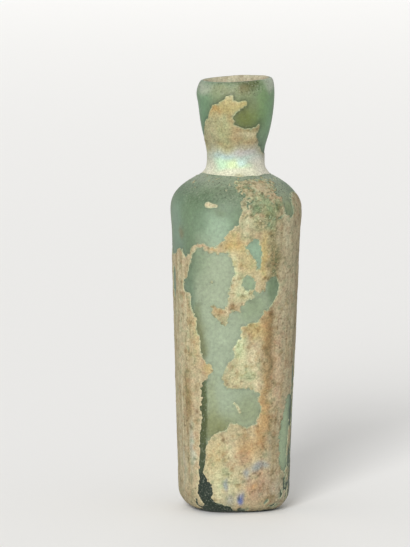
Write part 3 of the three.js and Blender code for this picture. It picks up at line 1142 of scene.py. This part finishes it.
def glass_tone(turn, along):
    """Colour of the glass and how thickly it is specked with frost and pits.

    It is clouded green, pale over the front face and stained. Shade is painted on it near black down the
    thick front corner and in the foot, and dark down the right corner among the stains. Close by the crust
    a shadow is painted on, by exp(-distance / 0.6 mm). The inside is plain. The specks lie thickest under
    the collar, round the lip and in the painted dark places.
    """
    point = skin_point(turn, along)
    height = height_at(along)
    across, neck_across = across_of(turn, BODY_ROLL), across_of(turn, NECK_ROLL)
    ragged = across + 0.2 * lattice_noise(point, 1.2, seed=151)
    on_body = height < NECK_HEIGHT
    colour = clouded_green(point, across)
    colour = blended(colour, PALE_GLASS, 0.8 * front_face(across, height, ragged))
    corner, thick = corner_shade(height, ragged), foot_shade(across, height, ragged)
    body = stained(colour, across, height, point, GLASS_STAINS)
    # Painted shade: the near black of the thick front corner and of the foot.
    body = blended(body, blended(DEEP_GREEN, DEEP_OLIVE, smoothstep(height, 2, 20)), 0.9 * corner)
    body = blended(body, DEEP_GREEN, thick)
    mouth = stained(colour, neck_across, height, point, MOUTH_STAINS)
    colour = np.where(on_body[:, None], body, mouth)
    near = np.where(on_body, body_mask(turn, along), neck_mask(turn, along))
    shade = np.where(on_body, mix(0.25, 0.15, smoothstep(across, -7, -2)), 0.6)
    # Painted shadow on the glass along the crust's edges.
    colour = blended(colour, PIT_AND_SHADOW_GREEN, shade * np.exp(np.minimum(near, 0) / 0.6))
    colour = np.where((along <= LIP_LENGTH)[:, None], colour, GLASS)
    colour = colour * (1 + 0.07 * rough_noise(point, 1.6, seed=155, octaves=3))[:, None]
    haze = smoothstep(height, 62.5, 67) * on_body * mix(0.75, 1, smoothstep(across, -3, 4))
    frost = 0.15 + 0.75 * haze + 0.45 * smoothstep(height, 85.2, 86.8) + 0.3 * np.maximum(corner, thick)
    return with_specks(colour, frost + 0.4 * soft_oval(neck_across, height, FROSTED_LIP))


def glass_piece(material):
    """The whole vessel: a grid of the skin over every turn and length, closed by a fan of triangles
    under the foot and by another on the floor inside."""
    columns, outer_rows, inner_rows = 280, 285, 65
    turns = np.arange(columns) / columns * 2 * math.pi
    lengths = np.concatenate([
        np.linspace(0, LIP_LENGTH, outer_rows),
        np.linspace(LIP_LENGTH, PROFILE_LENGTH[-1], inner_rows)[1:],
    ])[1:-1]
    turn, along = (part.ravel() for part in np.meshgrid(turns, lengths))
    points = skin_point(turn, along)
    index = np.arange(len(turn)).reshape(len(lengths), columns)
    a, b = index[:-1], np.roll(index, -1, axis=1)[:-1]
    d, c = index[1:], np.roll(index, -1, axis=1)[1:]
    foot, floor = len(points), len(points) + 1
    first, last = index[0], index[-1]
    faces = np.concatenate([
        np.stack([a, b, c], -1).reshape(-1, 3),
        np.stack([a, c, d], -1).reshape(-1, 3),
        np.stack([np.full(columns, foot), np.roll(first, -1), first], 1),
        np.stack([np.full(columns, floor), last, np.roll(last, -1)], 1),
    ])
    points = np.concatenate([points, [(0, 0, KICK_DEPTH), (0, 0, FLOOR_THICKNESS)]])
    colours = np.zeros((len(points), 4))
    colours[:-2] = np.clip(glass_tone(turn, along), 0.005, 0.95)
    colours[-2:, :3] = GLASS
    piece = mesh_object("flask_glass", points, faces, material, colours)
    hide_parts("glass_flask")


# ---------------------------------------------------------------------------------------------
# The flask
# ---------------------------------------------------------------------------------------------

glass = glass_material()
crust = crust_material()
glass_piece(glass)

# The crust's grids: a cell's height, and how many cells lie round it. The body's is made in three arcs,
# the first of them over the front.
BODY_CELL, NECK_CELL = 0.205, 0.2
ARC, ARC_COLUMNS, NECK_COLUMNS = 2 * math.pi / 3, 141, 210
body_lengths = np.arange(along_at(0.15), along_at(COLLAR_HEIGHT + 0.4), BODY_CELL)
for name, start in (("crust_front", -ARC / 2), ("crust_right", ARC / 2), ("crust_left", -3 * ARC / 2)):
    arc_turns = FACING_TURN + np.linspace(start, start + ARC, ARC_COLUMNS)
    crust_piece(name, crust, arc_turns, body_lengths, body_mask, body_tone, BODY_LAYER)

neck_lengths = np.arange(along_at(COLLAR_HEIGHT - 0.6), along_at(87), NECK_CELL)
lip_lengths = np.arange(LIP_LENGTH - 1.2, LIP_LENGTH + 11, NECK_CELL)
neck_turns = np.linspace(0, 2 * math.pi, NECK_COLUMNS, endpoint=False)
crust_piece("crust_neck", crust, neck_turns, neck_lengths, neck_mask, neck_tone, NECK_LAYER, closed=True)
crust_piece("crust_lip", crust, neck_turns, lip_lengths, lip_mask, lip_tone, LIP_LAYER, closed=True)


# ---------------------------------------------------------------------------------------------
# Floor, light and camera
# ---------------------------------------------------------------------------------------------


def floor_material():
    """Plain pale matt board."""
    material, _, _, shader = new_material("studio_floor")
    shader.inputs["Base Color"].default_value = (0.84, 0.835, 0.82, 1)
    shader.inputs["Roughness"].default_value = 0.9
    return material


def add_floor():
    """A square of floor, wide enough that its edges are never seen."""
    half = 12
    corners = [(-half, -half, 0), (half, -half, 0), (half, half, 0), (-half, half, 0)]
    mesh = bpy.data.meshes.new("studio_floor")
    mesh.from_pydata(corners, [], [(0, 1, 2, 3)])
    mesh.materials.append(floor_material())
    floor = bpy.data.objects.new("studio_floor", mesh)
    bpy.context.scene.collection.objects.link(floor)


def place_light(data, place, aim):
    """Hangs a light at a place and turns it to its aim."""
    light = bpy.data.objects.new(data.name, data)
    light.location = place
    light.rotation_euler = (Vector(aim) - Vector(place)).to_track_quat("-Z", "Y").to_euler()
    bpy.context.scene.collection.objects.link(light)


def add_key(turn, rise, softness, strength):
    """A broad light so far off that it falls evenly, from so many degrees round and above the floor."""
    data = bpy.data.lights.new("key", "SUN")
    data.angle = math.radians(softness)
    data.energy = strength
    turn, rise = math.radians(turn), math.radians(rise)
    place = (math.sin(turn) * math.cos(rise), -math.cos(turn) * math.cos(rise), math.sin(rise))
    place_light(data, place, (0, 0, 0))


def add_panel(name, place, aim, size, power):
    """A round soft panel."""
    data = bpy.data.lights.new(name, "AREA")
    data.shape = "DISK"
    data.size = size
    data.energy = power
    place_light(data, place, aim)


def add_world():
    """Even white light from all round."""
    world = bpy.data.worlds.new("studio")
    world.use_nodes = True
    background = world.node_tree.nodes["Background"]
    background.inputs["Color"].default_value = (1, 0.995, 0.985, 1)
    background.inputs["Strength"].default_value = 0.56
    bpy.context.scene.world = world


def add_camera():
    """Aimed at the axis a little over half way up, then turned and rolled a little to frame the flask."""
    distance, height, aim_height = 1.05, 0.176, 0.0473
    yaw, pitch, roll = (math.radians(angle) for angle in (0.337, 0.069, 0.362))
    data = bpy.data.cameras.new("camera")
    data.lens = 337.6
    data.sensor_width = 36
    camera = bpy.data.objects.new("camera", data)
    place = Vector((math.sin(FACING_TURN) * distance, -math.cos(FACING_TURN) * distance, height))
    look = (Vector((0, 0, aim_height)) - place).to_track_quat("-Z", "Y").to_matrix().to_4x4()
    framing = Matrix.Rotation(yaw, 4, "Y") @ Matrix.Rotation(pitch, 4, "X") @ Matrix.Rotation(roll, 4, "Z")
    camera.matrix_world = Matrix.Translation(place) @ look @ framing
    bpy.context.scene.collection.objects.link(camera)
    bpy.context.scene.camera = camera


add_floor()
add_world()
add_key(turn=-25, rise=22, softness=20, strength=3.0)
add_panel("far_floor", place=(0.6, 3.2, 1.6), aim=(0.6, 3.2, 0), size=2.0, power=24)
add_camera()
bpy.context.scene.view_settings.view_transform = "Standard"
